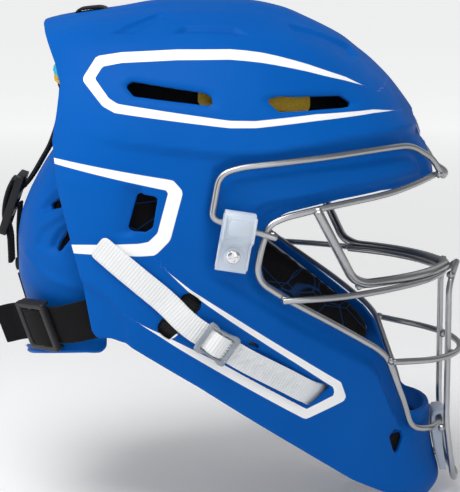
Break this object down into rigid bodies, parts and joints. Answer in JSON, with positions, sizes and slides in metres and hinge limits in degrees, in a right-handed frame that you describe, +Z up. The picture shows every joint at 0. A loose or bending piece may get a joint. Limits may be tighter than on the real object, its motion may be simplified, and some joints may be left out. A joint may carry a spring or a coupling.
{
  "type": "catcher's mask",
  "caption": "Hockey-style catcher's mask: moulded helmet shell, floating back plate, welded wire cage, chin strap, elastic rear straps and foam padding.",
  "frame": {"origin": "middle of the head cavity, on the symmetry plane, at eye height", "axes": "+X the way the wearer looks, +Z up, +Y the wearer's left"},
  "size_m": [0.3021, 0.2452, 0.3204],
  "materials": {
    "blue_shell": "matte royal blue moulding with white painted stripes",
    "cage_steel": "satin silver wire",
    "fastener_steel": "bright zinc",
    "clear_plastic": "frosted clear moulding",
    "cyan_foam": "closed-cell foam",
    "yellow_foam": "closed-cell foam",
    "grey_foam": "closed-cell foam",
    "black_liner": "knitted liner fabric",
    "black_rubber": "soft moulded",
    "white_webbing": "ribbed webbing",
    "grey_buckle": "translucent grey moulding",
    "black_webbing": "woven webbing and elastic",
    "black_plastic": "moulded",
    "badge": "plain round badge"
  },
  "bodies": {
    "shell": {"front_shell": "blue_shell", "cage_brow_wire": "cage_steel", "cage_opening_wire": "cage_steel", "cage_centre_ring": "cage_steel", "cage_nose_bar_lower": "cage_steel", "cage_nose_bar_upper": "cage_steel", "cage_nose_bar_inner": "cage_steel", "cage_mouth_bar": "cage_steel", "side_clip_right": "clear_plastic", "side_clip_left": "clear_plastic", "chin_clip": "clear_plastic", "clip_screw_right": "fastener_steel", "clip_screw_left": "fastener_steel", "clip_nut_right": "fastener_steel", "clip_nut_left": "fastener_steel", "chin_screw": "fastener_steel", "chin_nut": "fastener_steel", "crown_pad_outer": "cyan_foam", "crown_pad_middle": "yellow_foam", "crown_pad_inner": "black_liner", "forehead_pad": "black_liner", "jaw_foam_right": "grey_foam", "jaw_foam_left": "grey_foam", "jaw_pad_right": "black_liner", "jaw_pad_left": "black_liner", "chin_pad": "black_liner", "chin_cup": "black_rubber", "chin_strap_tail_right": "white_webbing", "chin_strap_tail_left": "white_webbing", "chin_strap_front_right": "white_webbing", "chin_strap_front_left": "white_webbing", "strap_keeper_right": "black_webbing", "strap_keeper_left": "black_webbing", "rear_elastic_right": "black_webbing", "rear_elastic_left": "black_webbing", "elastic_rivet_right": "fastener_steel", "elastic_rivet_left": "fastener_steel", "crown_strap_loop": "black_webbing", "brow_badge": "badge"},
    "back_plate": {"back_plate": "blue_shell", "back_pad": "black_liner", "crown_strap_run": "black_webbing", "plate_webbing": "black_webbing", "plate_rivet": "fastener_steel", "elastic_tail_right": "black_webbing", "elastic_tail_left": "black_webbing"},
    "ladder_lock": {"ladder_lock": "black_plastic", "crown_strap_tail": "black_webbing"},
    "elastic_slider_right": {"elastic_slider_right": "black_plastic"},
    "elastic_slider_left": {"elastic_slider_left": "black_plastic"},
    "chin_slider_right": {"chin_strap_slider_right": "grey_buckle"},
    "chin_slider_left": {"chin_strap_slider_left": "grey_buckle"}
  },
  "joints": [
    {"name": "back_plate_swing", "type": "hinge", "parent": "shell", "child": "back_plate", "pos_m": [-0.094, 0, 0.12], "axis": [0, 1, 0], "range_deg": [0, 14], "stiffness_Nm_per_rad": 6, "springref_deg": -2.86, "deforming": ["rear_elastic_right", "rear_elastic_left"]},
    {"name": "ladder_lock_tilt", "type": "hinge", "parent": "back_plate", "child": "ladder_lock", "pos_m": [-0.125, 0, 0.0245], "axis": [0, 1, 0], "range_deg": [0, 25]},
    {"name": "elastic_slider_right_slide", "type": "slide", "parent": "back_plate", "child": "elastic_slider_right", "axis": [-0.69, 0.7205, -0.069], "range_m": [-0.004, 0.005]},
    {"name": "elastic_slider_left_slide", "type": "slide", "parent": "back_plate", "child": "elastic_slider_left", "axis": [-0.69, -0.7205, -0.069], "range_m": [-0.004, 0.005]},
    {"name": "chin_slider_right_slide", "type": "slide", "parent": "shell", "child": "chin_slider_right", "axis": [0.8162, 0.1751, -0.5507], "range_m": [-0.008, 0.008]},
    {"name": "chin_slider_left_slide", "type": "slide", "parent": "shell", "child": "chin_slider_left", "axis": [0.8162, -0.1751, -0.5507], "range_m": [-0.008, 0.008]}
  ]
}
